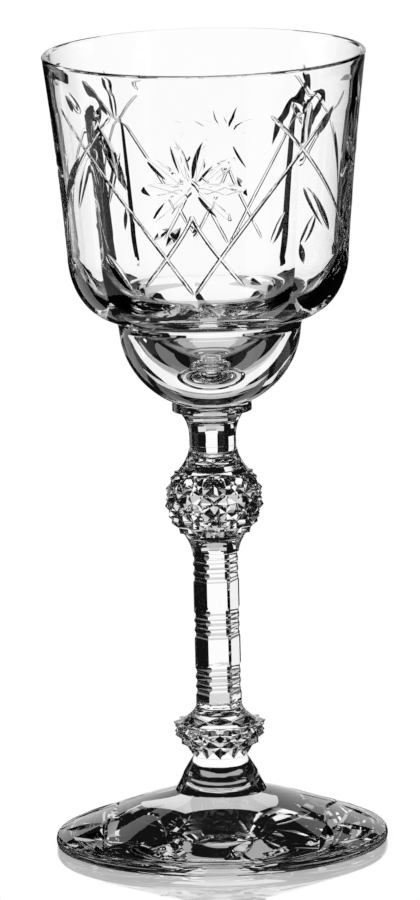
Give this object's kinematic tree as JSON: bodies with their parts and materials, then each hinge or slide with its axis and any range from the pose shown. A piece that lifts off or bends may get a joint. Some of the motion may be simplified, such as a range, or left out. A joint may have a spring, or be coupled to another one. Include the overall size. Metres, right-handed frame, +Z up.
{
  "type": "cordial glass",
  "caption": "Small stemmed cordial glass in clear cut crystal: flared bowl with a rounded shoulder and lower cup, diamond-cut ball and ring knops on a notched stem, spread cut foot.",
  "frame": {"origin": "centre of the foot on the surface that the glass stands on", "axes": "+Z up along the stem to the rim; -Y is the front, where a cut flower faces the viewer; +X to the right"},
  "size_m": [0.0498, 0.0498, 0.12],
  "materials": {
    "bowl_crystal": "clear polished crystal, about 1.6 mm thick, with fluted inside and wheel-cut flowers, leaves and mitre lines outside",
    "stem_crystal": "clear polished solid crystal with sharp diamond facets and notched edges",
    "foot_crystal": "clear polished crystal with wheel-cut leaves and curved mitre lines"
  },
  "bodies": {
    "root": {"bowl": "bowl_crystal", "stem": "stem_crystal", "foot": "foot_crystal"}
  },
  "joints": []
}
